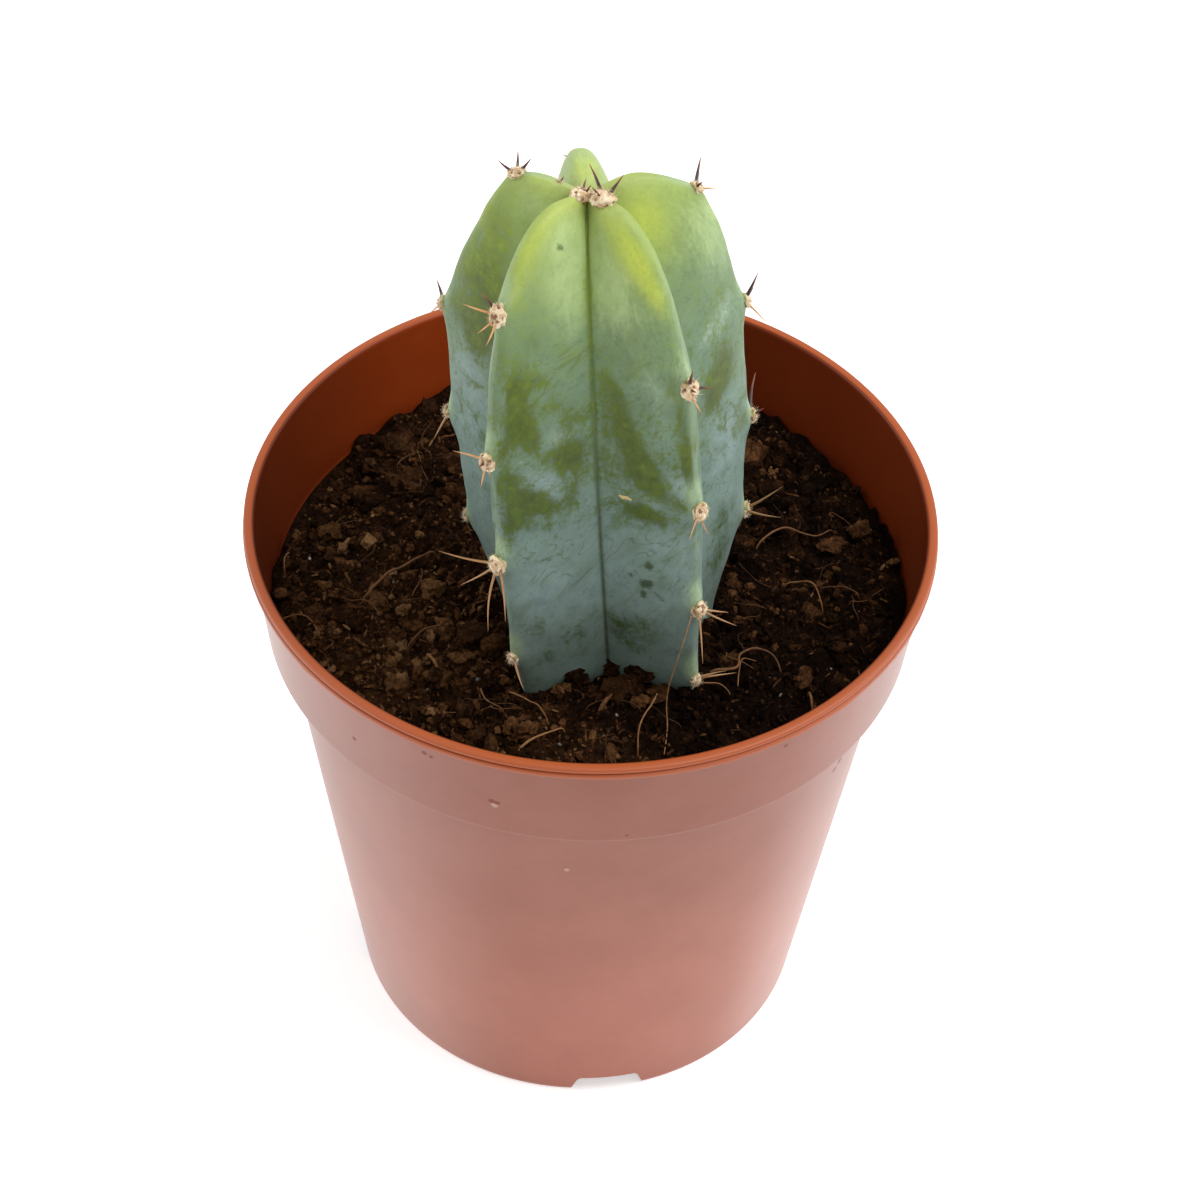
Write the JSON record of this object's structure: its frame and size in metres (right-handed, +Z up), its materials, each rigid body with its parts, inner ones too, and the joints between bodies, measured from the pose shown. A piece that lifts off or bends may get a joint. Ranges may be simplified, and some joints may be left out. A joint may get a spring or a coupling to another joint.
{
  "type": "potted bilberry cactus",
  "caption": "Young ribbed columnar cactus with woolly, spined areoles along its ribs, standing in dark potting mix in a tapered terracotta-coloured plastic nursery pot.",
  "frame": {"origin": "centre of the pot's foot, on the surface that the pot stands on", "axes": "+Z up along the pot's axis; -Y towards the viewer who faces the broad panel between the plant's two front ribs; +X to that viewer's right"},
  "size_m": [0.085, 0.085, 0.1382],
  "materials": {
    "terracotta_plastic": "injection-moulded polypropylene in terracotta orange-brown, satin, a little hazy on the outside",
    "peat_and_bark": "damp dark peat mix with bark crumbs and tan coir fibres, dull and rough",
    "waxy_green_skin": "waxy plant skin, lime green near the top and blue-green under a pale bloom lower down, rubbed olive in patches; cream wool and dark to amber spines at the areoles"
  },
  "bodies": {
    "root": {"pot": "terracotta_plastic", "potting_soil": "peat_and_bark", "cactus_stem": "waxy_green_skin"}
  },
  "joints": []
}
